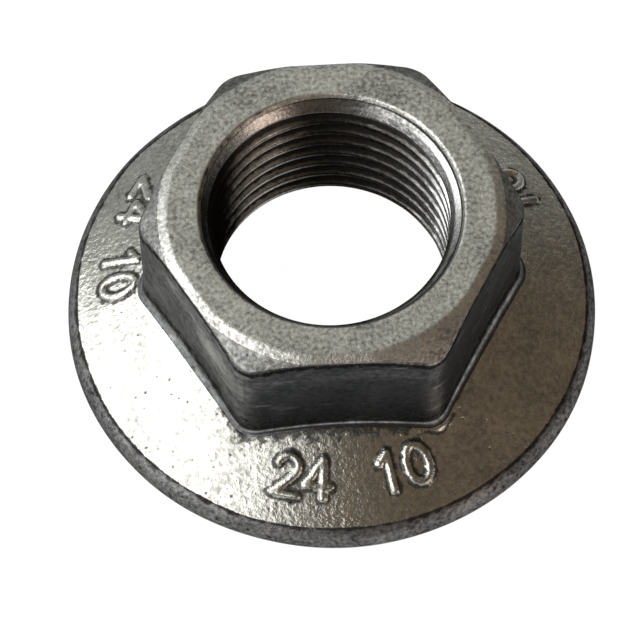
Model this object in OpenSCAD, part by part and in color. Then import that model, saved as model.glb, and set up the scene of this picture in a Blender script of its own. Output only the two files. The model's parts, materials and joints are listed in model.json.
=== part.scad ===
// Hub nut with a flange: one forging in plated steel, with a hexagon for the spanner, a conical
// flange that spreads the load, and a fine thread right through it.
// Millimetres. The nut stands on the seat of its flange: the origin is the middle of that seat,
// Z runs up the thread's axis, and one flat of the hexagon faces -Y.

/* [Thread] */
// Diameter inside the thread's crests (M24 x 2)
bore_d = 22.2; // [16:0.1:24]
// Width of the countersunk mouth at the top
mouth_w = 1.4; // [0.4:0.1:2]
// Slope of that countersink, from the axis
mouth_angle = 35; // [30:1:60]
// Width of the countersink where the thread starts, below
lead_in_w = 1.2; // [0.4:0.1:2]
// Slope of the lower countersink, from the axis
lead_in_angle = 45; // [30:1:60]

/* [Hexagon] */
// Distance across the flats
across_flats = 32; // [30.5:0.1:38]
// Height of the whole nut
nut_h = 20.4; // [17:0.1:30]
// Radius of the six upright corners
corner_r = 2.6; // [0.6:0.1:4]
// How far the top chamfer reaches in from the flats
chamfer_w = 0.3; // [0.2:0.1:1.6]
// Slope of the top chamfer, from level
chamfer_angle = 30; // [15:1:40]
// Radius of the hollow where the hexagon meets the flange
root_r = 1.4; // [0.8:0.1:2]

/* [Flange] */
// Widest diameter of the flange
flange_d = 51.6; // [46:0.1:60]
// Slope of the flange's upper face, from level
cone_angle = 28.5; // [12:0.5:33]
// Radius of the rim's barrel shape, above its widest circle
rim_r = 2.6; // [2.5:0.1:6]
// Height of the rim's widest circle above the seat, and radius of the edge below it
rim_widest_h = 0.8; // [0.4:0.1:1.6]
// Height of the crease between the rim and the cone
crease_h = 2.85; // [2.3:0.05:3.2]

/* [Seat] */
// Diameter of the recess that clears the shoulder of the axle stub
recess_d = 28; // [27:0.1:32]
// Depth of that recess
recess_depth = 3.6; // [1:0.1:5]
// Width of the bevel at the mouth of the recess
recess_bevel = 0.6; // [0.2:0.1:1.2]

/* [Hidden] */
$fn = 96;

steel = "#8d8e8b";
flats = 6;
turn = 360 / flats;
half_turn = turn / 2;
// How far one solid reaches into the next, so that they fuse
bite = 0.4;
// How far a cutter stands past the face that it opens
clear = 1;
// How far the hollow's arc dips under the faces that it joins, along a flat and round a corner
flat_dip = 0.05;
corner_dip = 0.1;
// How far the hollow along a flat runs on past the flat's ends
root_lap = 0.02;

bore_r = bore_d / 2;
recess_r = recess_d / 2;
mouth_depth = mouth_w / tan(mouth_angle);
lead_in_depth = lead_in_w / tan(lead_in_angle);

// The rim's barrel is an arc about this circle, and the cone starts at the crease, where they meet
barrel_r = flange_d / 2 - rim_r;
crease_r = barrel_r + sqrt(pow(rim_r, 2) - pow(crease_h - rim_widest_h, 2));
function cone_z(r) = crease_h + (crease_r - r) * tan(cone_angle);
// Here the barrel runs along with the cone, and from here to the crease it stands above it
shoulder_r = barrel_r + rim_r * sin(cone_angle);
seat_edge_r = flange_d / 2 - rim_widest_h;
flange_reach = flange_d / 2 + clear;

// The hexagon's flats and the upright axes that its corners are rounded about
flat_r = across_flats / 2;
corner_axis_r = (flat_r - corner_r) / cos(half_turn);
corner_reach = corner_axis_r + corner_r;
flat_half = (flat_r - corner_r) * tan(half_turn);
hex_foot = cone_z(corner_reach) - root_r - clear;

// The line where a flat meets the cone sinks towards the corners: an arc follows it
flat_root_z = cone_z(flat_r);
flat_end_z = cone_z(norm([flat_r, flat_half]));
root_drop = flat_root_z - flat_end_z;
root_bend_r = (pow(flat_half, 2) + pow(root_drop, 2)) / (2 * root_drop);
root_half_angle = asin((flat_half + root_lap) / root_bend_r);
corner_root_z = (flat_end_z + cone_z(corner_reach)) / 2;

// Half section of the rim: a rounded lower edge, and the barrel from its widest circle upwards
module rim_section() {
    square([seat_edge_r, rim_widest_h]);
    translate([seat_edge_r, rim_widest_h])
        circle(rim_widest_h);
    intersection() {
        translate([barrel_r, rim_widest_h])
            circle(rim_r);
        translate([0, rim_widest_h])
            square([flange_reach, rim_r + clear]);
    }
}

// Half section of the flange, filled to the axis: everything that lies under its cone
module flange_section() {
    core = flat_r - bite;
    intersection() {
        polygon([[0, 0], [flange_reach, 0], [flange_reach, cone_z(flange_reach)],
                 [core, cone_z(core)], [0, cone_z(core)]]);
        union() {
            square([shoulder_r, nut_h]);
            rim_section();
        }
    }
}

// Outline of the hexagon: flats cut back to where the rounded corners take over
module hexagon_outline() {
    polygon([for (i = [0 : flats - 1], side = [-1, 1])
        let (a = i * turn + half_turn, along = side * flat_half)
        [flat_r * cos(a) - along * sin(a), flat_r * sin(a) + along * cos(a)]]);
    for (i = [0 : flats - 1])
        rotate(i * turn)
            translate([corner_axis_r, 0])
                circle(corner_r);
}

// Half section of the turned top: a level face, then the chamfer that trims the corners
module chamfer_section() {
    face_r = flat_r - chamfer_w;
    reach = corner_reach + clear;
    polygon([[0, 0], [reach, 0], [reach, nut_h - (reach - face_r) * tan(chamfer_angle)],
             [face_r, nut_h], [0, nut_h]]);
}

// Section of the hollow between an upright wall at x = 0 and the cone that falls away from it
module root_section(dip) {
    mid_x = root_r - dip;
    mid_y = mid_x * (1 / cos(cone_angle) - tan(cone_angle));
    foot = root_r + bite;
    foot_y = mid_y - foot * cos(cone_angle);
    difference() {
        polygon([[-bite, mid_y], [mid_x, mid_y],
                 [mid_x - foot * sin(cone_angle), foot_y], [-bite, foot_y]]);
        translate([mid_x, mid_y])
            circle(root_r);
    }
}

// The hollow along the flat that faces -Y
module flat_root() {
    translate([0, 0, flat_root_z - root_bend_r])
        rotate([90, 0, 0])
            rotate(90 - root_half_angle)
                rotate_extrude(angle = 2 * root_half_angle)
                    translate([root_bend_r, flat_r])
                        mirror([1, -1])
                            root_section(flat_dip);
}

// The hollow round the upright corner on +X
module corner_root() {
    translate([corner_axis_r, 0, corner_root_z])
        rotate(-half_turn)
            rotate_extrude(angle = turn)
                translate([corner_r, 0])
                    root_section(corner_dip);
}

module hexagon() {
    intersection() {
        translate([0, 0, hex_foot])
            linear_extrude(nut_h - hex_foot + clear)
                hexagon_outline();
        rotate_extrude()
            chamfer_section();
    }
    for (i = [0 : flats - 1])
        rotate(i * turn) {
            flat_root();
            corner_root();
        }
}

// The bore with its two countersinks, and the recess in the seat
module bore() {
    translate([0, 0, -clear])
        cylinder(h = nut_h + 2 * clear, r = bore_r);
    translate([0, 0, nut_h - mouth_depth])
        cylinder(h = 2 * mouth_depth, r1 = bore_r, r2 = bore_r + 2 * mouth_w);
    translate([0, 0, recess_depth - clear])
        cylinder(h = clear, r = bore_r + lead_in_w);
    translate([0, 0, recess_depth])
        cylinder(h = lead_in_depth, r1 = bore_r + lead_in_w, r2 = bore_r);
    translate([0, 0, -clear])
        cylinder(h = recess_depth + clear, r = recess_r);
    translate([0, 0, -recess_bevel])
        cylinder(h = 2 * recess_bevel, r1 = recess_r + 2 * recess_bevel, r2 = recess_r);
}

module flange_nut() {
    color(steel)
        difference() {
            union() {
                rotate_extrude()
                    flange_section();
                hexagon();
            }
            bore();
        }
}

flange_nut();
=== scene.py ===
# %% [markdown]
# # A forged flange nut
# The nut is one piece of plated steel, so the whole lesson is about one mesh: a half section that is
# carried round the axis and changes its shape on the way, because the hexagon has flats and corners.
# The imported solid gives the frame. It has the right form but a plain bore and sharp edges, so a
# finer surface takes its place here, in the same frame and at the same size.

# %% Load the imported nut
import json
import math

import bmesh
import bpy
import numpy as np
from mathutils import Matrix, Vector


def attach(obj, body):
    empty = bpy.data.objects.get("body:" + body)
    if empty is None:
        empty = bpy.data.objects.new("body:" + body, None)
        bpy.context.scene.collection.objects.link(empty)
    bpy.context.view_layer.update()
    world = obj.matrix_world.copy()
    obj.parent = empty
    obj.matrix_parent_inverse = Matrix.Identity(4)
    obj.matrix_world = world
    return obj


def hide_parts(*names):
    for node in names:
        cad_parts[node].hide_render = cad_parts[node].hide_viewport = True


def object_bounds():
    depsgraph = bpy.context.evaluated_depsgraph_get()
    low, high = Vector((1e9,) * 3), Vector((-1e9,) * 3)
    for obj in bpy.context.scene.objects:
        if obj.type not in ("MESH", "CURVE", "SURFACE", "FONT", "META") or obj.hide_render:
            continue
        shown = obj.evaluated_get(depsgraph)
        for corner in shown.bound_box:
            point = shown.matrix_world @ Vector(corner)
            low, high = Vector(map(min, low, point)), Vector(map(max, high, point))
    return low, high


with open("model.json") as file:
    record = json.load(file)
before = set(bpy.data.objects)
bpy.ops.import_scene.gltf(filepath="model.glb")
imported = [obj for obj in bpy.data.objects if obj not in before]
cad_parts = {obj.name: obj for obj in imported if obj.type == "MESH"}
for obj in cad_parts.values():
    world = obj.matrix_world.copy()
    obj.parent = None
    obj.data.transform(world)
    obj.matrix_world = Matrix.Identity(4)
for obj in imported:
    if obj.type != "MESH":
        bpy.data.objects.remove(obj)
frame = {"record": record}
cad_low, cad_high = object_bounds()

print("solid from", tuple(cad_low), "to", tuple(cad_high))

# %% [markdown]
# ## Sizes
# The height, the flange and the bore are read from the frame. Most other sizes repeat the ones that
# the solid was drawn with, in millimetres. The top is softer than the solid's one turned chamfer: a
# bevel follows the flats, and steeper facets trim the corners. The thread adds its own sizes: a 2 mm
# pitch, with flanks at 60 degrees between its crests and its roots.

# %% Sizes
MM = 0.001
TURN = 2 * math.pi

nut_h = cad_high.z / MM
flange_r = cad_high.x / MM
thread_mount = next(m for m in frame["record"]["mounts"] if m["name"] == "thread")
bore_r = thread_mount["dims"]["r_mm"]

# the hexagon: flats, upright corners, the bevel along the flats and the facets at the corners
flat_r = 32 / 2
corner_r = 2.6
bevel_w = 0.85
bevel_slope = math.tan(math.radians(26))
facet_r = 15.4
facet_slope = math.tan(math.radians(36))

# the flange: cone, crease and barrel-shaped rim
cone_angle = math.radians(28.5)
crease_h = 2.85
rim_r = 2.6
rim_widest_h = 0.8
barrel_r = flange_r - rim_r
crease_r = barrel_r + math.sqrt(rim_r ** 2 - (crease_h - rim_widest_h) ** 2)

# the bore's two countersinks, and the recess in the seat
mouth_w = 1.4
mouth_slope = math.tan(math.radians(35))
lead_in_w = 1.2
recess_r = 14.0
recess_depth = 3.6
recess_bevel = 0.6

# the thread: flank and root are shares of the pitch, and the start is a share of a turn
thread_pitch = 2.0
thread_depth = 1.08
thread_flank = thread_depth * math.tan(math.radians(30)) / thread_pitch
thread_root = 0.125
thread_start = -0.617
print(f"flange {2 * flange_r:.1f} mm, height {nut_h:.1f} mm, bore {2 * bore_r:.1f} mm")

# %% [markdown]
# ## Angles
# A grid wants its points where the shape changes fast: at the six upright corners, and where the
# flange carries its raised numbers. So the angles are read off a running sum of how crowded each
# direction should be, instead of being spaced evenly.

# %% Angles round the axis
ANGLE_COUNT = 576
FINE_STEPS = 20000
SIXTH = TURN / 6
CORNERS = np.radians(np.arange(0, 360, 60))
# how far round a corner points lie closer, and how much closer at corners and at numbers
CORNER_SPREAD = math.radians(3.2)
CORNER_CROWD, MARK_CROWD = 1.3, 0.9
# the flange's numbers: middle and half width in degrees, and digits
MARKS = [(-101, 9, "24"), (-74, 9, "10"), (150, 9, "24"), (173, 9, "10"), (27, 9, "10")]


def away(theta, centres):
    """Smallest angle from each theta to any of the centres, going the short way round."""
    gap = np.asarray(theta)[..., None] - np.asarray(centres)
    return np.abs((gap + math.pi) % TURN - math.pi).min(-1)


def near(theta, centres, reach, power=2):
    """1 at the centres, falling off round them: the exponential of minus (angle / reach) to a power."""
    return np.exp(-(away(theta, centres) / reach) ** power)


def crowding(theta):
    """How close together points should lie: 1 on a plain stretch, more at corners and numbers."""
    at_mark = sum(near(theta, [math.radians(angle)], math.radians(half), 6) for angle, half, _ in MARKS)
    return 1 + CORNER_CROWD * near(theta, CORNERS, CORNER_SPREAD) + MARK_CROWD * at_mark


fine = np.linspace(0, TURN, FINE_STEPS + 1)
running = np.concatenate([[0], np.cumsum(crowding((fine[1:] + fine[:-1]) / 2))])
theta = np.interp(np.arange(ANGLE_COUNT) / ANGLE_COUNT, running / running[-1], fine)
steps = np.degrees(np.diff(theta))
print(f"{ANGLE_COUNT} angles, {steps.min():.2f} to {steps.max():.2f} degrees apart")

# %% [markdown]
# ## Small irregularities
# A forging is never quite true: its free rim swells a little unevenly and its corners differ. A sum
# of a few waves round the axis, with fixed random phases, bends the section's corner points by
# tenths of a millimetre. It only ever takes metal away, so the nut keeps its size.

# %% Waves round the axis
random = np.random.default_rng(24)
# the lowest of the random waves and folds, as a share of the highest
LEAST_SHARE = 0.4


def waver(size, low, high):
    """A sum of waves round the axis between two counts per turn, scaled to reach from -size to 0."""
    counts = np.arange(low, high + 1)[:, None]
    phases = random.uniform(0, TURN, counts.shape)
    heights = random.uniform(LEAST_SHARE, 1, counts.shape) / np.sqrt(counts)
    wave = (heights * np.cos(counts * theta + phases)).sum(0)
    return size * (wave - wave.max()) / (wave.max() - wave.min())


rim_waver = waver(0.16, 2, 11)
crease_waver = waver(0.2, 3, 17)
crease_lift = waver(0.07, 2, 13)
top_waver = waver(0.12, 2, 7)
print(f"rim wavers by {np.ptp(rim_waver):.2f} mm, crease by {np.ptp(crease_waver):.2f} mm")

# %% [markdown]
# ## The half section
# At any one angle the nut is cut by a half plane, and the cut is a chain of straight lines with
# rounded corners: mouth, top face, bevel, corner facet, flat, cone, rim, seat and recess. The hexagon
# shows up only as a radius that changes with the angle, and the bevel follows it. Each corner gets
# an arc that is tangent to the two lines beside it, worked out for all angles at once.

# %% The hexagon's radius at each angle
HALF_FLAT = math.pi / 6


def hexagon_radius(angle, flat_at):
    """Distance from the axis to a hexagon with rounded corners, from the distance of its flats.

    Along a flat it is the flat's distance over the cosine of the angle from the flat's middle. Near
    a corner it is where the ray leaves the corner's own circle.
    """
    from_corner = away(angle, CORNERS)
    from_flat = HALF_FLAT - from_corner
    axis_r = (flat_at - corner_r) / math.cos(HALF_FLAT)
    across = np.minimum(np.abs(axis_r * np.sin(from_corner)), corner_r)
    on_corner = axis_r * np.cos(from_corner) + np.sqrt(corner_r ** 2 - across ** 2)
    flat_end = math.atan((flat_at - corner_r) * math.tan(HALF_FLAT) / flat_at)
    return np.where(from_flat < flat_end, flat_at / np.cos(from_flat), on_corner)


hex_r = hexagon_radius(theta, flat_r)
print(f"hexagon {2 * hex_r.min():.1f} mm over flats, {2 * hex_r.max():.1f} mm over corners")

# %% Rounding a chain of lines
# the rows of an arc are numbered this close round their corner's number
ARC_SPREAD = 0.1
# a row whose number is this close to a corner's is on its arc, and not on a line beside it
NEAR_CORNER = 0.2


def rounded_chain(corners, radii, line_steps, arc_steps):
    """Points along a chain of lines whose inner corners are rounded, for every angle at once.

    A corner that turns by an angle a is cut back on both sides by radius * tan(a / 2), and the arc
    runs about the point that lies one radius square off the first cut. Gives rows of (r, z), and
    for each row a place on the chain: its corner's number, and half numbers on the lines between.
    """
    points = np.stack([np.stack(np.broadcast_arrays(r + 0 * theta, z + 0 * theta), -1)
                       for r, z in corners])
    lines = np.diff(points, axis=0)
    lines = lines / np.linalg.norm(lines, axis=-1, keepdims=True)
    rows, owners, last = [points[:1]], [0], points[0]
    for k in range(1, len(corners)):
        if k == len(corners) - 1:
            start, arc = points[k], points[k][None]
        else:
            before, after = lines[k - 1], lines[k]
            side = before[:, 0] * after[:, 1] - before[:, 1] * after[:, 0]
            turn = np.arctan2(side, (before * after).sum(-1))
            radius = (radii[k] + 0 * theta)[:, None]
            square = np.sign(turn)[:, None] * np.stack([-before[:, 1], before[:, 0]], -1)
            start = points[k] - radius * np.tan(np.abs(turn) / 2)[:, None] * before
            middle = start + radius * square
            bend = np.linspace(0, 1, arc_steps[k] + 1)[:, None] * turn
            spoke = -radius * square
            arc = middle + np.stack([
                np.cos(bend) * spoke[:, 0] - np.sin(bend) * spoke[:, 1],
                np.sin(bend) * spoke[:, 0] + np.cos(bend) * spoke[:, 1]], -1)
        share = np.arange(1, line_steps[k])[:, None, None] / line_steps[k]
        line = last + share * (start - last)
        rows += [line, arc]
        owners += [k - 0.5] * len(line) + (k + np.linspace(-ARC_SPREAD, ARC_SPREAD, len(arc))).tolist()
        last = arc[-1]
    return np.concatenate(rows), np.array(owners)


# %% The section's corner points
# the skin starts a little below the top, inside the mouth, and ends on the recess's floor
skin_start = 0.4
floor_rim = 0.4
least_facet = 0.12
# the edge's rounding: a radius, or less where this share of the facet's width is less
edge_r, edge_share = 0.5, 0.4
# the hollow at the hexagon's foot is tighter along the front flat
root_r, front_tighter = 1.3, 0.45
FRONT, FRONT_WIDTH = math.radians(270), math.radians(44)
ledge_h = 1.6

mouth_r = bore_r + mouth_w
face_r = np.minimum(hexagon_radius(theta, flat_r - bevel_w), facet_r)
bevel_r = np.minimum(face_r + bevel_w, hex_r - least_facet)
bevel_z = nut_h - (bevel_r - face_r) * bevel_slope + top_waver / 2
edge_z = bevel_z - (hex_r - bevel_r) * facet_slope + top_waver / 2
edge_round = np.minimum(edge_r, edge_share * (hex_r - bevel_r))
in_front = near(theta, [FRONT], FRONT_WIDTH, 4)
root_round = root_r - front_tighter * in_front
rim_bend = math.acos((crease_r - barrel_r) / rim_r)
rim_top = rim_widest_h + rim_r * math.tan(rim_bend / 2)


def cone_z(r):
    """Height of the flange's cone at a distance r from the axis."""
    return crease_h + (crease_r - r) * math.tan(cone_angle)


# name: radius, height, rounding, rows on the line before it, rows round the corner
# the ledge doesn't turn: it ends the close rows below the edge, which carry a thin line of painted shade
section = {
    "start": (mouth_r - skin_start * mouth_slope, nut_h - skin_start, 0, 1, 0),
    "mouth": (mouth_r, nut_h, 0.35, 1, 4),
    "face": (face_r, nut_h, 0.8, 6, 4),
    "bevel": (bevel_r, bevel_z, 0.5, 3, 2),
    "edge": (hex_r, edge_z, edge_round, 2, 4),
    "ledge": (hex_r, edge_z - ledge_h, 0, 5, 0),
    "root": (hex_r, cone_z(hex_r), root_round, 9, 10),
    "crease": (crease_r + crease_waver, crease_h + crease_lift, 0.07, 44, 3),
    "rim": (flange_r + rim_waver, rim_top, rim_r * 0.9, 2, 8),
    "seat_edge": (flange_r + rim_waver, 0, rim_widest_h * 0.95, 1, 5),
    "recess_edge": (recess_r + recess_bevel, 0, 0.1, 6, 1),
    "recess": (recess_r, recess_bevel, 0.1, 1, 1),
    "recess_floor": (recess_r, recess_depth, 0.5, 3, 4),
    "lead_in": (bore_r + lead_in_w + floor_rim, recess_depth, 0, 2, 0),
}
names = list(section)
chain, owner = rounded_chain(
    [(r, z) for r, z, *_ in section.values()],
    [v[2] for v in section.values()],
    [v[3] for v in section.values()],
    [v[4] for v in section.values()])
print(f"half section of {len(chain)} rows through {len(names)} corners")

# %% [markdown]
# ## Relief on the flange
# The cone carries raised numbers, as thread sizes and strength classes on nuts are, and the forging
# has left folds where metal was pushed out round the hexagon's corners, at one of them a small lip.
# All are heights above the cone: the distance to a stroke, or to a corner, becomes a height by a
# smooth step, a damped wave or a bump.

# %% Strokes of the digits
STROKE_HALF = 0.34
STROKE_SOFT = 0.15
STROKE_HEIGHT = 0.32
DIGIT_HALF = 1.85
DIGIT_GAP = 2.9
BOW_POINTS = 17
MARK_R = 20.6


def smooth_step(x):
    """0 below 0, 1 above 1, and a smooth rise between."""
    x = np.clip(x, 0, 1)
    return x * x * (3 - 2 * x)


def bow(cx, cy, rx, ry, start, end):
    """Points on an oval from one angle to another, in degrees."""
    a = np.radians(np.linspace(start, end, BOW_POINTS))
    return np.stack([cx + rx * np.cos(a), cy + ry * np.sin(a)], -1)


# each digit is one pen stroke, one unit high above and below its middle
DIGITS = {
    "0": bow(0, 0, 0.58, 1, 90, 450),
    "1": np.array([(-0.4, 0.5), (0.1, 1), (0.1, -1)]),
    "2": np.concatenate([bow(0, 0.45, 0.55, 0.55, 170, -35), [(-0.55, -1), (0.6, -1)]]),
    "4": np.array([(0.3, -1), (0.3, 1), (-0.6, -0.4), (0.65, -0.4)]),
}


def turned_from(angle):
    """Angle from one direction to every theta, going the short way round, with its sign."""
    return (theta - angle + math.pi) % TURN - math.pi


def to_stroke(x, y, points):
    """Distance from a grid of points to the nearest piece of a pen stroke."""
    nearest = np.full(np.broadcast(x, y).shape, np.inf)
    for (ax, ay), (bx, by) in zip(points[:-1], points[1:]):
        dx, dy = bx - ax, by - ay
        along = np.clip(((x - ax) * dx + (y - ay) * dy) / (dx * dx + dy * dy), 0, 1)
        nearest = np.minimum(nearest, np.hypot(x - ax - along * dx, y - ay - along * dy))
    return nearest


print("digits:", ", ".join(DIGITS))

# %% Numbers on the cone
cone_rows = np.abs(owner - names.index("crease") + 0.5) < NEAR_CORNER
cone_r = chain[cone_rows][..., 0]
slope_y = (MARK_R - cone_r) / math.cos(cone_angle)
pen_distance = np.full(cone_r.shape, np.inf)
for angle, _, text in MARKS:
    slope_x = turned_from(math.radians(angle)) * MARK_R
    for place, digit in enumerate(text):
        shift = (place - (len(text) - 1) / 2) * DIGIT_GAP
        stroke = DIGITS[digit] * DIGIT_HALF + (shift, 0)
        pen_distance = np.minimum(pen_distance, to_stroke(slope_x, slope_y, stroke))
relief = STROKE_HEIGHT * smooth_step((STROKE_HALF + STROKE_SOFT - pen_distance) / (2 * STROKE_SOFT))
print(f"{len(MARKS)} numbers stand {relief.max():.2f} mm proud of the cone")

# %% Folds round the corners' feet
FOLD_HEIGHT = 0.07
FOLD_GAP = 0.8
FOLD_REACH = 1.6
FOLD_WIDTH = math.radians(9)
corner_axis_r = hex_r.max() - corner_r


def past_corner(corner):
    """Distance of the cone's points from the circle that rounds one of the hexagon's corners."""
    turned = turned_from(corner)
    return np.hypot(cone_r * np.cos(turned) - corner_axis_r, cone_r * np.sin(turned)) - corner_r


for corner, height in zip(CORNERS, random.uniform(LEAST_SHARE, 1, len(CORNERS))):
    out = past_corner(corner)
    fade = np.exp(-(out / FOLD_REACH) ** 2) * near(theta, [corner], FOLD_WIDTH)
    relief += height * FOLD_HEIGHT * fade * np.cos(TURN * out / FOLD_GAP)
print(f"folds up to {FOLD_HEIGHT:.2f} mm high round {len(CORNERS)} corners")

# %% A lip of pushed-out metal at one corner
LIP_CORNER, LIP_WIDTH = math.radians(300), math.radians(8)
LIP_AT, LIP_REACH, LIP_HEIGHT = 0.4, 0.32, 0.22
# how far it sways in and out, and how many times that would be in a whole turn
LIP_SWAY, LIP_WAVES = 0.16, 41

at_lip = near(theta, [LIP_CORNER], LIP_WIDTH, 4)
lip_line = LIP_AT + LIP_SWAY * np.cos(turned_from(LIP_CORNER) * LIP_WAVES)
past_lip = past_corner(LIP_CORNER) - lip_line
on_lip = at_lip * np.exp(-(past_lip / LIP_REACH) ** 2)
relief += LIP_HEIGHT * on_lip
print(f"a lip {LIP_HEIGHT:.2f} mm high at the right front corner")

# %% [markdown]
# ## Where shade and highlights are painted, and where metal is worn
# Painted shade darkens hollows and creases: beside the foot of the hexagon, most in front, below its
# upper edge, under the crease, round the numbers, in the crack under the lip and on the left of the
# bore's mouth, and the flats get darker low down. Flats that meet spanners and other nuts, the upright
# corners and a band below the edge are worn bright, and so is the top's edge, which also carries a
# painted highlight. The flats and the corner facets get painted highlights, strongest on the sides
# towards the lamps, and a thin painted highlight lies in the hollow at the foot. A shader can't know
# where those places are, so each point of the mesh carries two values, worked out here from its distance
# to each hollow and each edge: 0 is none, 1 and more is full. The finishes break them up with a noise.

# %% Distances along the section
run = np.concatenate([np.zeros((1, ANGLE_COUNT)),
                      np.cumsum(np.linalg.norm(np.diff(chain, axis=0), axis=-1), 0)])


def past(name):
    """Distance of every point along the section from the middle of a corner's arc."""
    return run - run[np.abs(owner - names.index(name)) < NEAR_CORNER].mean(0)


def band(name, middle, reach):
    """1 at one distance from a corner of the section, falling off on both sides of it."""
    return np.exp(-((past(name) - middle) / reach) ** 2)


on_hexagon = (past("edge") > 0) & (past("root") < 0)
on_facets = (past("bevel") > 0) & (past("edge") < 0)
# in the counts that are printed, a point is darkened or brightened from this value on
COUNTED_FROM = 0.4
print(f"the section is {run[-1].min():.1f} to {run[-1].max():.1f} mm long")

# %% Painted shade, and flats darker low down
# each place: middle and reach along the section, in millimetres past its corner, and how dark its painted
# shade is
FOOT_AT, FOOT_REACH, FOOT_SHADE = 0.4, 2.4, 0.25
SEAM_AT, SEAM_REACH, SEAM_SHADE = -0.8, 0.6, 0.85
LEDGE_AT, LEDGE_REACH, LEDGE_SHADE = 0.4, 0.5, 0.9
CREASE_AT, CREASE_REACH, CREASE_SHADE = 0, 0.45, 0.8
MOUTH_AT, MOUTH_REACH, MOUTH_SHADE = -0.2, 0.4, 0.55
# beside the foot the painted shade is this much darker in front
FRONT_SHADE = 0.6
# the flats get darker low down: it starts here, grows over this length and ends before the hollow
LOW_FROM, LOW_REACH, LOW_DARKENING, LOW_END = -5, 4.5, 0.5, -0.4
# the crease's painted shade stays off the cone above it
CREASE_FROM = -0.05
# painted shade beside the numbers' strokes, and in the crack under the lip
PEN_REACH, PEN_SHADE = 0.35, 0.85
CRACK_AT, CRACK_REACH = 0.55, 0.22

beside_foot = 1 - np.abs(past("root") - FOOT_AT) / FOOT_REACH
low_on_flats = LOW_DARKENING * smooth_step((past("root") - LOW_FROM) / LOW_REACH)
# the painted shade at the bore's mouth lies on the left side only
on_left = 0.5 - 0.5 * np.cos(theta)
# painted shade in the hollows and creases, and the flats darker low down
grime_and_shade = np.maximum.reduce([
    (FOOT_SHADE + FRONT_SHADE * in_front) * (1 - at_lip) * beside_foot * (past("root") > FOOT_AT),
    SEAM_SHADE * band("root", SEAM_AT, SEAM_REACH),
    LEDGE_SHADE * band("edge", LEDGE_AT, LEDGE_REACH) * on_hexagon,
    low_on_flats * on_hexagon * (past("root") < LOW_END),
    CREASE_SHADE * band("crease", CREASE_AT, CREASE_REACH) * (past("crease") > CREASE_FROM),
    MOUTH_SHADE * on_left * band("mouth", MOUTH_AT, MOUTH_REACH)])
beside_pen = np.exp(-((pen_distance - STROKE_HALF - STROKE_SOFT) / PEN_REACH) ** 2)
under_lip = at_lip * np.exp(-((past_lip - CRACK_AT) / CRACK_REACH) ** 2)
# painted shade round the numbers' strokes and in the crack under the lip
grime_and_shade[cone_rows] = np.maximum.reduce([
    grime_and_shade[cone_rows] * (1 - on_lip), PEN_SHADE * beside_pen * (pen_distance > STROKE_HALF), under_lip])
print(f"grime on {100 * (grime_and_shade > COUNTED_FROM).mean():.0f} % of the skin's points")

# %% Worn metal and painted highlights
# how much each of the six flats is brightened, from the one at 30 degrees onwards: worn places, and
# painted highlights strongest on the flats towards the left lamp
FLAT_WEAR_AND_HIGHLIGHT = [0.2, 0.3, 0.5, 0.6, 0.05, 0.3]
# bright streaks on the flats, partly worn metal and partly painted reflection: angle and half width in
# degrees, distance below the edge and half height, share
SMEARS_AND_REFLECTIONS = [(224, 9, 4.6, 1.8, 1.6), (203, 8, 3.0, 0.9, 0.7), (262, 7, 3.2, 0.9, 0.2),
          (335, 6, 5.0, 2.0, 0.2)]
# painted highlight on each of the six corner facets, from the one at 0 degrees onwards, strongest towards
# the lamps
FACET_HIGHLIGHT = [0.15, 0.05, 0.1, 0.35, 0.2, 0.75]
# the upright corners, worn bright, and bands along the section as above: worn metal below the edge, the
# top's edge with worn metal and a painted highlight, and the painted highlight in the hollow at the foot
CORNER_WIDTH, CORNER_WEAR = math.radians(4), 0.4
RUB_AT, RUB_REACH, RUB_WEAR = 2.3, 0.9, 0.3
FACE_AT, FACE_REACH = 0.5, 0.4
HOLLOW_AT, HOLLOW_REACH, HOLLOW_HIGHLIGHT = 0.05, 0.35, 0.7
# in front the painted highlight in the hollow lies higher, is narrower and is brighter
FRONT_HIGHER, FRONT_NARROWER, FRONT_HIGHLIGHT = 0.15, 0.75, 0.3

flat_wear = np.array(FLAT_WEAR_AND_HIGHLIGHT)[(theta // SIXTH).astype(int)]
facet_wear = np.array(FACET_HIGHLIGHT)[np.round(theta / SIXTH).astype(int) % 6]
smears_and_reflections = sum(share * band("edge", below, half) * near(theta, [math.radians(angle)], math.radians(width))
             for angle, width, below, half, share in SMEARS_AND_REFLECTIONS)
# worn corners and band below the edge, and the flats' worn places and painted highlights
worn_and_lit = np.maximum.reduce([RUB_WEAR * band("edge", RUB_AT, RUB_REACH),
                            CORNER_WEAR * near(theta, CORNERS, CORNER_WIDTH) + 0 * run,
                            flat_wear + smears_and_reflections])
# a thin painted highlight along the hollow at the foot
hollow_line = (HOLLOW_HIGHLIGHT + FRONT_HIGHLIGHT * in_front) * band(
    "root", HOLLOW_AT - FRONT_HIGHER * in_front, HOLLOW_REACH * (1 - FRONT_NARROWER * in_front))
# worn metal and painted highlights, as one value for each point
wear = np.maximum.reduce([on_hexagon * worn_and_lit, on_facets * facet_wear, hollow_line,
                          band("face", FACE_AT, FACE_REACH)])
print(f"wear on {100 * (wear > COUNTED_FROM).mean():.0f} % of the skin's points")

# %% Put the skin in space
lift = np.zeros_like(chain)
lift[cone_rows] = relief[..., None] * np.array([math.sin(cone_angle), math.cos(cone_angle)])
chain = chain + lift


def swing(r, z, angle):
    """Points at radius r, height z and an angle, in metres."""
    return MM * np.stack([r * np.cos(angle), r * np.sin(angle), z + 0 * angle], -1)


skin = swing(chain[..., 0], chain[..., 1], theta)
print(f"skin grid {skin.shape[0]} x {skin.shape[1]}")

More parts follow.
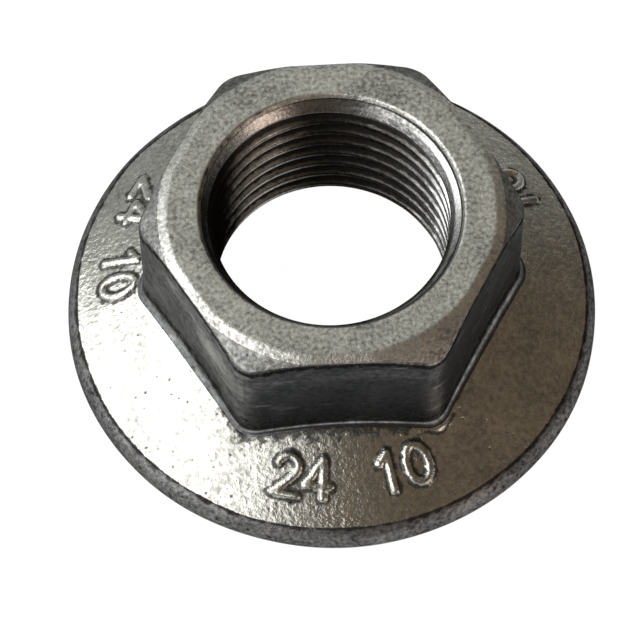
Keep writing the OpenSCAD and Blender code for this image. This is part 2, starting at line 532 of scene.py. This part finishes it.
# %% [markdown]
# ## The thread
# A thread could be a modifier on a profile, but its rows should follow the helix, or its crests come
# out as steps. So the grid itself is a helix: one row climbs a whole pitch in one turn, and its last
# point meets the first point of the row one pitch up. Heights are held between the two countersinks,
# where rows pile up in one place and are merged afterwards.

# %% The thread's profile
# share of a pitch, and how deep the thread is there: crest, flank, root, flank
ROOT_SOFT = 0.02
crest_end = 1 - thread_root - 2 * thread_flank
root_start = crest_end + thread_flank
root_end = root_start + thread_root
profile_at = np.array([0, 0.25 * crest_end, 0.5 * crest_end, 0.75 * crest_end, crest_end,
                       crest_end + 0.15 * thread_flank, crest_end + 0.5 * thread_flank,
                       root_start - ROOT_SOFT, root_start + ROOT_SOFT,
                       root_end - ROOT_SOFT, root_end + ROOT_SOFT,
                       1 - 0.5 * thread_flank, 1 - 0.15 * thread_flank])
profile_depth = np.array([0.06, 0.015, 0, 0.015, 0.06, 0.17, 0.5, 0.94, 1, 1, 0.94, 0.5, 0.17])
print(f"crest {crest_end * thread_pitch:.2f} mm wide, root {thread_root * thread_pitch:.2f} mm")

# %% The thread's grid
# the bore takes every third angle, and leaves a little height for the ring that joins it to the skin
BORE_STEP = 3
JOIN_H = 0.15
bore_theta = np.append(theta[::BORE_STEP], TURN)
bore_low = recess_depth
bore_high = nut_h - skin_start - JOIN_H
turns = int(math.ceil((bore_high - bore_low) / thread_pitch)) + 2
row_share = (np.arange(turns)[:, None] + profile_at).ravel() + thread_start
bore_z = bore_low + thread_pitch * (row_share[:, None] - 1 + bore_theta / TURN)
bore_z = np.clip(bore_z, bore_low, bore_high)


def plain_radius(z):
    """Wall of the bore without its thread: the crests' cylinder, or a countersink where that is wider."""
    mouth = mouth_r - (nut_h - z) * mouth_slope
    start = bore_r + lead_in_w - (z - bore_low)
    return np.maximum(bore_r, np.maximum(mouth, start))


def thread_radius(z, angle):
    """Wall of the thread alone, from where a height and an angle lie in the profile."""
    share = ((z - bore_low) / thread_pitch - angle / TURN - thread_start) % 1
    return bore_r + thread_depth * np.interp(share, profile_at, profile_depth, period=1)


bore_plain = plain_radius(bore_z)
bore_wall = np.maximum(bore_plain, thread_radius(bore_z, bore_theta))
bore = swing(bore_wall, bore_z, bore_theta)
print(f"thread of {turns} turns, grid {bore.shape[0]} x {bore.shape[1]}")

# %% Painted shade, dirt and painted highlights in the thread
# sides with a painted highlight, and one with painted shade all over: middle and reach in degrees, and
# share
HIGHLIGHT_SIDES = [(10, 22, 1.5), (125, 17, 1.6)]
SHADED_SIDE = (176, 30, 1.2)
# the countersinks are where the wall is this much wider than the crests, and how bright they are
MOUTH_FROM, MOUTH_SHINE = 0.1, 0.75
# painted shade with some dirt fills the groove from a share of its depth on, and on the sides with a
# painted highlight it starts deeper
GROOVE_FROM, GROOVE_REACH, GROOVE_SHADE_AND_GRIME = 0.12, 0.24, 1.3
HIGHLIGHT_DEEPER = 0.22


def on_side(angle, reach, share):
    """A share at one angle of the bore, falling off round it within a reach, both in degrees."""
    return share * near(bore_theta, [math.radians(angle)], math.radians(reach))


# painted highlights on two sides of the thread
painted_highlight = sum(on_side(*side) for side in HIGHLIGHT_SIDES)
groove = (bore_wall - bore_plain) / thread_depth
filled_from = GROOVE_FROM + HIGHLIGHT_DEEPER * np.minimum(painted_highlight, 1)
in_groove = GROOVE_SHADE_AND_GRIME * smooth_step((groove - filled_from) / GROOVE_REACH)
on_mouth = bore_plain > bore_r + MOUTH_FROM
# painted shade on one side of the thread, and painted shade with some dirt in the grooves
bore_grime_and_shade = np.maximum(in_groove, on_side(*SHADED_SIDE) * ~on_mouth)
bore_wear = painted_highlight + MOUTH_SHINE * on_mouth
print(f"grime on {100 * (bore_grime_and_shade > COUNTED_FROM).mean():.0f} % of the thread's points")

# %% [markdown]
# ## One closed mesh
# The skin and the thread become one mesh. The thread needs fewer angles than the skin, so at each
# countersink a ring of six-sided faces goes from three fine edges to one coarse edge. Merging the
# doubles then closes the helix's seam and removes the rows that were piled up.

# %% Faces
rows, columns = skin.shape[:2]
index = np.arange(rows * columns).reshape(rows, columns)
right = np.roll(index, -1, 1)
skin_faces = np.stack([index[:-1], index[1:], right[1:], right[:-1]], -1).reshape(-1, 4)
skin_owner = np.repeat((owner[:-1] + owner[1:]) / 2, columns)

bore_index = rows * columns + np.arange(bore.shape[0] * bore.shape[1]).reshape(bore.shape[:2])
bore_faces = np.stack([bore_index[:-1, :-1], bore_index[1:, :-1],
                       bore_index[1:, 1:], bore_index[:-1, 1:]], -1).reshape(-1, 4)


def joining_ring(fine_ring, coarse_ring, fine_first):
    """Six-sided faces from three edges of a fine ring to one edge of a coarse ring."""
    fine_ring = np.append(fine_ring, fine_ring[0])
    parts = [fine_ring[k:len(fine_ring) - BORE_STEP + k:BORE_STEP] for k in range(BORE_STEP + 1)]
    fine_part = np.stack(parts, -1)
    coarse_part = np.stack([coarse_ring[1:], coarse_ring[:-1]], -1)
    faces = np.concatenate([fine_part, coarse_part], -1)
    return faces if fine_first else faces[:, ::-1]


mouth_faces = joining_ring(index[0], bore_index[-1], True)
floor_faces = joining_ring(index[-1], bore_index[0], False)
print(len(skin_faces), "skin,", len(bore_faces), "thread and", 2 * len(mouth_faces), "joining faces")

# %% Which finish each face has
FINISHES = ["pressed_top", "corner_facets", "spanner_flats", "forged_cone", "upset_rim", "turned_seat",
            "cut_thread"]
finish_ends = [names.index("bevel") + NEAR_CORNER, names.index("edge") - NEAR_CORNER,
               names.index("root") + NEAR_CORNER, names.index("crease") - NEAR_CORNER,
               names.index("seat_edge") - NEAR_CORNER, len(names)]
skin_finish = np.searchsorted(finish_ends, skin_owner)
bore_finish = np.full(len(bore_faces) + 2 * len(mouth_faces), FINISHES.index("cut_thread"))
print("faces per finish:", np.bincount(np.concatenate([skin_finish, bore_finish])).tolist())

# %% Build the mesh
MERGE = 2e-7
mesh = bpy.data.meshes.new("flange_nut_surface")
mesh.from_pydata(
    np.concatenate([skin.reshape(-1, 3), bore.reshape(-1, 3)]).tolist(), [],
    skin_faces.tolist() + bore_faces.tolist() + mouth_faces.tolist() + floor_faces.tolist())
mesh.polygons.foreach_set("material_index", np.concatenate([skin_finish, bore_finish]).astype(np.int32))
for label, on_skin, in_bore in (("grime_and_shade", grime_and_shade, bore_grime_and_shade), ("wear", wear, bore_wear)):
    values = np.concatenate([on_skin.ravel(), in_bore.ravel()]).astype(np.float32)
    mesh.attributes.new(label, "FLOAT", "POINT").data.foreach_set("value", values)

shell = bmesh.new()
shell.from_mesh(mesh)
bmesh.ops.remove_doubles(shell, verts=shell.verts, dist=MERGE)
bmesh.ops.dissolve_degenerate(shell, edges=shell.edges, dist=MERGE)
open_edges = sum(1 for e in shell.edges if len(e.link_faces) != 2)
volume = shell.calc_volume(signed=True) / MM ** 3
shell.to_mesh(mesh)
shell.free()
mesh.polygons.foreach_set("use_smooth", np.ones(len(mesh.polygons), bool))
mesh.update()

nut = bpy.data.objects.new("flange_nut_dressed", mesh)
bpy.context.scene.collection.objects.link(nut)
mesh.calc_loop_triangles()
print(f"{len(mesh.loop_triangles)} triangles, {open_edges} open edges, {volume:.0f} mm3 of steel")

# %% [markdown]
# ## Finishes
# All of the nut is the same zinc plating, but each zone was made in its own way: the top was pressed flat
# and is speckled; its corner facets are a little rougher and have a darker colour, which is painted
# shade, with painted highlights at some corners; the flats have a darker colour still, also painted
# shade, with worn places from handling and painted highlights; the cone has the grain of the forging, the
# rim swelled freely and is rough, and the thread is dark, with painted highlights on two sides. Four
# effects serve them all, each a node group: a mottle, pits, scuffs with painted highlights, and painted
# shade with some dirt.

# %% Node helpers
def node_group(name, inputs, outputs):
    """A shader node group with a vector input, then float inputs and float outputs."""
    group = bpy.data.node_groups.new(name, "ShaderNodeTree")
    group.interface.new_socket("Vector", in_out="INPUT", socket_type="NodeSocketVector")
    for label, value in inputs.items():
        made = group.interface.new_socket(label, in_out="INPUT", socket_type="NodeSocketFloat")
        made.default_value = value
    for label in outputs:
        group.interface.new_socket(label, in_out="OUTPUT", socket_type="NodeSocketFloat")
    return group, group.nodes.new("NodeGroupInput"), group.nodes.new("NodeGroupOutput")


def put(tree, kind, links=None, **settings):
    """Adds a node with its settings; a socket gets a link or, where a plain value is given, that."""
    made = tree.nodes.new(kind)
    for key, value in settings.items():
        setattr(made, key, value)
    for socket, source in (links or {}).items():
        if isinstance(source, bpy.types.NodeSocket):
            tree.links.new(source, made.inputs[socket])
        else:
            made.inputs[socket].default_value = source
    return made


def noise(tree, vector, scale, detail=2.0, roughness=0.55):
    """The value of a noise texture."""
    return put(tree, "ShaderNodeTexNoise", {"Vector": vector, "Scale": scale, "Detail": detail,
                                            "Roughness": roughness}).outputs["Fac"]


def maths(tree, operation, a, b, clamp=False):
    """The result of one operation on two values."""
    return put(tree, "ShaderNodeMath", {0: a, 1: b}, operation=operation,
               use_clamp=clamp).outputs[0]


def between(tree, value, low, high, to_low=0.0, to_high=1.0):
    """Maps a value smoothly from one range to another."""
    return put(tree, "ShaderNodeMapRange", {"Value": value, "From Min": low, "From Max": high,
                                            "To Min": to_low, "To Max": to_high},
               interpolation_type="SMOOTHSTEP").outputs["Result"]


def swayed(tree, value, by, strength):
    """A value with a centred noise added to it."""
    return maths(tree, "ADD", value,
                 maths(tree, "MULTIPLY", maths(tree, "SUBTRACT", by, 0.5), strength))


# %% Mottle, pits, scuffs with painted highlights, and painted shade with dirt
# sizes of the patterns, as scales: how many lengths go into a metre
GRAIN = 1 / (0.5 * MM)
CLOUD = 1 / (3.5 * MM)
PIT_CLOUD = CLOUD * 1.3
PIT_CELL = 1 / (1.1 * MM)
RAGGED = 1 / (0.8 * MM)
PIT_BEND = 0.4 * MM
# how strong clouds, worn places with painted highlights, and ragged edges are, and between which values
# each mask rises from 0 to 1
CLOUD_STRENGTH = 1.1
WEAR_AND_HIGHLIGHT_STRENGTH = 0.14
RAGGED_STRENGTH = 2.0
PITS_SHOW = (0.95, 1.1)
SCUFFS_SHOW = (0.95, 1.2)
SHADE_AND_GRIME_SHOWS = (0.35, 0.75)


def make_mottle():
    """Fine grain over slow clouds, centred on a half: the crystals and stains of the plating."""
    group, given, out = node_group("plating_mottle", {"Grain": GRAIN, "Contrast": 2.4},
                                   ["Tone", "Height"])
    place = given.outputs["Vector"]
    grain = noise(group, place, given.outputs["Grain"], 3.0, 0.6)
    cloud = noise(group, place, CLOUD, 3.0, 0.55)
    grainy = swayed(group, 0.5, grain, given.outputs["Contrast"])
    tone = swayed(group, grainy, cloud, CLOUD_STRENGTH)
    group.links.new(put(group, "ShaderNodeClamp", {0: tone}).outputs[0], out.inputs["Tone"])
    group.links.new(grain, out.inputs["Height"])
    return group


def make_pits():
    """Small pits: the middles of bent Voronoi cells, shown where a slow noise is high."""
    group, given, out = node_group("forging_pits", {"Scale": PIT_CELL, "Reach": 0.2, "Amount": 0.5},
                                   ["Mask"])
    place = given.outputs["Vector"]
    warp = put(group, "ShaderNodeTexNoise", {"Vector": place, "Scale": GRAIN})
    bent = put(group, "ShaderNodeVectorMath", {0: warp.outputs["Color"], 1: (PIT_BEND,) * 3, 2: place},
               operation="MULTIPLY_ADD")
    cells = put(group, "ShaderNodeTexVoronoi", {"Vector": bent.outputs[0],
                                                "Scale": given.outputs["Scale"]})
    spot = between(group, cells.outputs["Distance"], 0.0, given.outputs["Reach"], 1.0, 0.0)
    where = maths(group, "ADD", noise(group, place, PIT_CLOUD), given.outputs["Amount"])
    shown = between(group, where, *PITS_SHOW)
    group.links.new(maths(group, "MULTIPLY", spot, shown), out.inputs["Mask"])
    return group


def make_scuffs_and_highlights():
    """Scuffed streaks and painted highlights: where a noise in a stretched space, plus the mesh's value
    of worn metal and painted highlights, is high.
    """
    group, given, out = node_group("handling_scuffs_and_highlights", {"Amount": 0.5, "Wear": 0.0}, ["Mask"])
    streak = noise(group, given.outputs["Vector"], 1.0, 3.0, 0.6)
    cut = maths(group, "ADD", streak, given.outputs["Amount"])
    # worn places and painted highlights from the mesh raise the mask
    worn = maths(group, "MULTIPLY", given.outputs["Wear"], WEAR_AND_HIGHLIGHT_STRENGTH)
    shown = between(group, maths(group, "ADD", cut, worn), *SCUFFS_SHOW)
    group.links.new(shown, out.inputs["Mask"])
    return group


def make_shade_and_grime():
    """The mesh's value of painted shade and dirt, with a ragged edge."""
    group, given, out = node_group("hollow_shade_and_grime", {"Amount": 0.0}, ["Mask"])
    ragged = noise(group, given.outputs["Vector"], RAGGED, 4.0, 0.7)
    edge = swayed(group, given.outputs["Amount"], ragged, RAGGED_STRENGTH)
    group.links.new(between(group, edge, *SHADE_AND_GRIME_SHOWS), out.inputs["Mask"])
    return group


mottle_group, pits_group = make_mottle(), make_pits()
scuffs_and_highlights_group, shade_and_grime_group = make_scuffs_and_highlights(), make_shade_and_grime()
print("node groups:", [g.name for g in bpy.data.node_groups])

# %% [markdown]
# ## One recipe, seven finishes
# Every finish is the same chain: the mottle picks a colour between a dark and a light one, worn places,
# scuffs and painted highlights lay bright metal over it, pits and painted shade with some dirt darken it,
# and mottle and pits also press the surface in. Plain metal would flare up where it is seen at a flat
# angle, so its edge tint is low, and lowest in the dark thread. Only the numbers differ, so one function
# builds them all.

# %% One finish from its values
# bright metal for worn places, scuffs and painted highlights
SCUFFED_AND_HIGHLIGHT = (0.6, 0.6, 0.59, 1)
PITTED = (0.03, 0.027, 0.025, 1)
# dark colour for painted shade, with some dirt
GRIMY_AND_SHADED = (0.014, 0.012, 0.0105, 1)
SCUFF_COVER, PIT_COVER, SHADE_AND_GRIME_COVER = 0.45, 0.9, 0.85
# the mottle breaks up worn places and painted highlights: from which tones, to which shares of their
# value
SPECKLE = (0.1, 0.9, 0.45, 1.45)
DULL_EDGE = 0.35
DIRT_ROUGHER = 0.25
PIT_DEPTH = 0.5
BUMP_DEPTH = 0.1 * MM


def grouped(tree, group, vector, **values):
    """A node group in a material's tree, with its place and its values or links."""
    return put(tree, "ShaderNodeGroup", {"Vector": vector, **values}, node_tree=group)


def layered(tree, mask, strength, under, over):
    """Lays one colour over another through a mask."""
    mix = put(tree, "ShaderNodeMix", data_type="RGBA")
    tree.links.new(maths(tree, "MULTIPLY", mask, strength), mix.inputs["Factor"])
    tree.links.new(under, mix.inputs["A"])
    mix.inputs["B"].default_value = over
    return mix.outputs["Result"]


def plated_finish(name, dark, light, rough, bump, grain, contrast, pits, pit_reach, rub_and_highlight, scuffs,
                  streak, turn, edge=DULL_EDGE):
    """Plated metal: colours and roughness each as a pair for the mottle's dark and light parts.

    Grain and streak are lengths in millimetres, the streak's along x, y and z before it is turned.
    """
    material = bpy.data.materials.new(name)
    material.use_nodes = True
    tree = material.node_tree
    metal = tree.nodes["Principled BSDF"]
    metal.inputs["Metallic"].default_value = 1.0
    metal.inputs["Specular Tint"].default_value = (edge, edge, edge, 1)
    place = put(tree, "ShaderNodeTexCoord").outputs["Object"]
    stretch = [1 / (length * MM) for length in streak]
    drawn_out = put(tree, "ShaderNodeMapping", {"Vector": place, "Rotation": turn, "Scale": stretch})
    # the mesh's two values: painted shade with some dirt, and worn metal with painted highlights
    hollow = put(tree, "ShaderNodeAttribute", attribute_name="grime_and_shade").outputs["Fac"]
    worn_and_lit = put(tree, "ShaderNodeAttribute", attribute_name="wear").outputs["Fac"]

    mottle = grouped(tree, mottle_group, place, Grain=1 / (grain * MM), Contrast=contrast).outputs
    pit = grouped(tree, pits_group, place, Amount=pits, Reach=pit_reach).outputs["Mask"]
    scuff_and_highlight = grouped(tree, scuffs_and_highlights_group, drawn_out.outputs["Vector"], Amount=scuffs, Wear=worn_and_lit)
    scuff_and_highlight = scuff_and_highlight.outputs["Mask"]
    shaded_and_grimy = grouped(tree, shade_and_grime_group, place, Amount=hollow).outputs["Mask"]

    ramp = put(tree, "ShaderNodeValToRGB", {0: mottle["Tone"]})
    ramp.color_ramp.elements[0].color = (*dark, 1)
    ramp.color_ramp.elements[1].color = (*light, 1)
    # worn places and painted highlights, then scuffs, pits, and painted shade with dirt, layered over the
    # mottle's colour
    speckled = maths(tree, "MULTIPLY", worn_and_lit, between(tree, mottle["Tone"], *SPECKLE))
    colour = layered(tree, speckled, rub_and_highlight, ramp.outputs["Color"], SCUFFED_AND_HIGHLIGHT)
    colour = layered(tree, scuff_and_highlight, SCUFF_COVER, colour, SCUFFED_AND_HIGHLIGHT)
    colour = layered(tree, pit, PIT_COVER, colour, PITTED)
    colour = layered(tree, shaded_and_grimy, SHADE_AND_GRIME_COVER, colour, GRIMY_AND_SHADED)
    tree.links.new(colour, metal.inputs["Base Color"])

    worn = between(tree, mottle["Tone"], 0.0, 1.0, rough[0], rough[1])
    dull = maths(tree, "MULTIPLY", maths(tree, "MAXIMUM", pit, shaded_and_grimy), DIRT_ROUGHER)
    tree.links.new(maths(tree, "ADD", worn, dull, True), metal.inputs["Roughness"])
    height = maths(tree, "SUBTRACT", mottle["Height"], maths(tree, "MULTIPLY", pit, PIT_DEPTH))
    press = put(tree, "ShaderNodeBump", {"Height": height, "Strength": bump, "Distance": BUMP_DEPTH})
    tree.links.new(press.outputs["Normal"], metal.inputs["Normal"])
    return material


# %% The seven finishes
finish_values = {
    "pressed_top": dict(
        dark=(0.2, 0.2, 0.185), light=(0.78, 0.78, 0.735), rough=(0.48, 0.34), bump=0.6,
        grain=0.4, contrast=2.4, pits=0.42, pit_reach=0.16, rub_and_highlight=0.2, scuffs=0.36,
        streak=(0.5, 4, 0.5), turn=(0, 0, 0.5)),
    # the corner facets: a darker copy of the top's colours, painted shade
    "corner_facets": dict(
        dark=(0.06, 0.06, 0.056), light=(0.25, 0.25, 0.235), rough=(0.5, 0.38), bump=0.6,
        grain=0.4, contrast=2.0, pits=0.46, pit_reach=0.18, rub_and_highlight=0.6, scuffs=0.38,
        streak=(0.5, 4, 0.5), turn=(0, 0, 0.5)),
    # the flats: far darker than the same plating on the top, painted shade
    "spanner_flats": dict(
        dark=(0.035, 0.037, 0.039), light=(0.105, 0.11, 0.115), rough=(0.42, 0.3), bump=0.4,
        grain=0.6, contrast=1.8, pits=0.44, pit_reach=0.16, rub_and_highlight=0.4, scuffs=0.36,
        streak=(3.2, 3.2, 0.9), turn=(0.3, 0.2, 0)),
    "forged_cone": dict(
        dark=(0.24, 0.24, 0.22), light=(0.7, 0.7, 0.66), rough=(0.31, 0.2), bump=0.8,
        grain=0.5, contrast=1.8, pits=0.59, pit_reach=0.2, rub_and_highlight=0.2, scuffs=0.33,
        streak=(0.5, 4, 0.5), turn=(0, 0, 0.9)),
    "upset_rim": dict(
        dark=(0.055, 0.055, 0.057), light=(0.26, 0.26, 0.26), rough=(0.5, 0.38), bump=1.0,
        grain=0.4, contrast=2.4, pits=0.62, pit_reach=0.3, rub_and_highlight=0.2, scuffs=0.35,
        streak=(4, 4, 0.5), turn=(0, 0, 0)),
    "turned_seat": dict(
        dark=(0.3, 0.3, 0.29), light=(0.55, 0.55, 0.53), rough=(0.44, 0.32), bump=0.25,
        grain=0.5, contrast=1.4, pits=0.38, pit_reach=0.14, rub_and_highlight=0.2, scuffs=0.42,
        streak=(0.5, 4, 0.5), turn=(0, 0, 0.2)),
    "cut_thread": dict(
        dark=(0.014, 0.013, 0.012), light=(0.06, 0.056, 0.052), rough=(0.36, 0.24), bump=0.3,
        grain=0.4, contrast=1.8, pits=0.44, pit_reach=0.18, rub_and_highlight=0.6, scuffs=0.36,
        streak=(4, 4, 0.5), turn=(0, 0, 0), edge=0.1),
}
for name in FINISHES:
    mesh.materials.append(plated_finish(name, **finish_values[name]))
print("finishes:", [m.name for m in mesh.materials])

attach(nut, "root")
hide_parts("flange_nut")

# %% [markdown]
# ## Floor, light and camera
# The nut lies on pale paper. Metal shows what stands round it, so the room gives it form: a large soft
# lamp on the left, like a window, a grey wall behind, a darker, warmer side on the right and in front,
# and a small warm lamp low down there. The lamps light the paper too. For the camera, and less so for
# what the metal shows, part of the paper is a plain white glow, so that the ground round the nut is
# even while its shadow still shows.

# %% Floor
FLOOR_HALF = 1.5
PAPER = (0.85, 0.85, 0.85, 1)
GLOW = 1.1
# shares of the glow for the camera, and for what metal shows
SEEN_GLOW, SHOWN_GLOW = 0.9, 0.5
floor_mesh = bpy.data.meshes.new("floor")
floor_mesh.from_pydata([(x, y, 0) for x, y in ((-1, -1), (1, -1), (1, 1), (-1, 1))], [], [(0, 1, 2, 3)])
floor_mesh.transform(Matrix.Scale(FLOOR_HALF, 4))
floor = bpy.data.objects.new("floor", floor_mesh)
bpy.context.scene.collection.objects.link(floor)

paper = bpy.data.materials.new("white_paper")
paper.use_nodes = True
tree = paper.node_tree
matt = tree.nodes["Principled BSDF"]
matt.inputs["Base Color"].default_value = PAPER
matt.inputs["Roughness"].default_value = 1.0
matt.inputs["Specular IOR Level"].default_value = 0.0
glow = put(tree, "ShaderNodeEmission", {"Color": (1, 1, 1, 1), "Strength": GLOW})
path = put(tree, "ShaderNodeLightPath").outputs
shown = maths(tree, "MAXIMUM", path["Is Glossy Ray"], path["Is Transmission Ray"])
share = maths(tree, "MAXIMUM", maths(tree, "MULTIPLY", path["Is Camera Ray"], SEEN_GLOW),
              maths(tree, "MULTIPLY", shown, SHOWN_GLOW))
blend = put(tree, "ShaderNodeMixShader", {0: share, 1: matt.outputs[0], 2: glow.outputs[0]})
tree.links.new(blend.outputs[0], tree.nodes["Material Output"].inputs["Surface"])
floor_mesh.materials.append(paper)
print("floor of", 2 * FLOOR_HALF, "m")


# %% Lamps
def soft_lamp(name, azimuth, elevation, distance, width, height, power, colour=(1, 1, 1)):
    """A rectangular lamp at an azimuth and elevation from the nut, facing it."""
    a, e = math.radians(azimuth), math.radians(elevation)
    way = Vector((math.cos(a) * math.cos(e), math.sin(a) * math.cos(e), math.sin(e)))
    data = bpy.data.lights.new(name, "AREA")
    data.shape = "RECTANGLE"
    data.size, data.size_y = width, height
    data.energy = power
    data.color = colour
    lamp = bpy.data.objects.new(name, data)
    lamp.location = way * distance
    lamp.rotation_mode = "QUATERNION"
    lamp.rotation_quaternion = way.to_track_quat("Z", "Y")
    bpy.context.scene.collection.objects.link(lamp)
    return lamp


lamps = [soft_lamp("left_window", 195, 36, 0.5, 0.88, 0.5, 3.45),
         soft_lamp("warm_lamp", 315, 11, 0.5, 0.2, 0.22, 0.28, (1, 0.78, 0.66))]
print("lamps:", {lamp.name: round(lamp.data.energy, 2) for lamp in lamps})

# %% Room
WALL = (0.64, 0.66, 0.62, 1)
DARK_SIDE = (0.165, 0.125, 0.085, 1)
# the direction of the dark side, and how far towards it the wall ends and the dark is full
DARK_WAY = (0.75, -0.66, 0)
WALL_END, DARK_FULL = -0.6, 0.35
# near the floor the room gives this share of its light, and all of it from this height on
LOW_LIGHT, FULL_LIGHT_FROM = 0.4, 0.6

world = bpy.data.worlds.new("room")
bpy.context.scene.world = world
world.use_nodes = True
tree = world.node_tree
background = tree.nodes["Background"]
way = put(tree, "ShaderNodeTexCoord").outputs["Generated"]
to_dark = put(tree, "ShaderNodeVectorMath", {0: way, 1: DARK_WAY}, operation="DOT_PRODUCT")
room = put(tree, "ShaderNodeValToRGB",
           {0: between(tree, to_dark.outputs["Value"], WALL_END, DARK_FULL)})
room.color_ramp.elements[0].color = WALL
room.color_ramp.elements[1].color = DARK_SIDE
height = put(tree, "ShaderNodeSeparateXYZ", {0: way}).outputs["Z"]
strength = between(tree, height, 0.0, FULL_LIGHT_FROM, LOW_LIGHT, 1.0)
tree.links.new(room.outputs["Color"], background.inputs["Color"])
tree.links.new(strength, background.inputs["Strength"])
print("a room that is dark in front, on the right and near the floor")

# %% Camera
# lengths in pixels are the photograph's, and the distance is in millimetres
FOCAL_PIXELS = 4000
FRAME_PIXELS = 630
ORIGIN_AT = (331.9, 310.1)
DISTANCE = 390.8
ELEVATION = math.radians(62.47)
AZIMUTH = math.radians(-2.52)
ROLL = math.radians(-0.62)
SENSOR = 36

back = Vector((math.cos(ELEVATION) * math.sin(AZIMUTH), -math.cos(ELEVATION) * math.cos(AZIMUTH),
               math.sin(ELEVATION)))
level = Vector((math.cos(AZIMUTH), math.sin(AZIMUTH), 0))
upright = back.cross(level)
across = math.cos(ROLL) * level + math.sin(ROLL) * upright
up = -math.sin(ROLL) * level + math.cos(ROLL) * upright
pixel = DISTANCE / FOCAL_PIXELS
aside = (ORIGIN_AT[0] - FRAME_PIXELS / 2) * pixel
above = (FRAME_PIXELS / 2 - ORIGIN_AT[1]) * pixel
eye = back * DISTANCE - across * aside - up * above

camera = bpy.data.objects.new("camera", bpy.data.cameras.new("camera"))
camera.data.sensor_width = SENSOR
camera.data.lens = SENSOR * FOCAL_PIXELS / FRAME_PIXELS
camera.data.clip_start = 0.01
camera.data.clip_end = 10
camera.matrix_world = Matrix.Translation(eye * MM) @ Matrix((across, up, back)).transposed().to_4x4()
bpy.context.scene.collection.objects.link(camera)
bpy.context.scene.camera = camera
bpy.context.scene.view_settings.view_transform = "Standard"
print(f"camera {DISTANCE:.0f} mm away, {math.degrees(ELEVATION):.1f} degrees up")
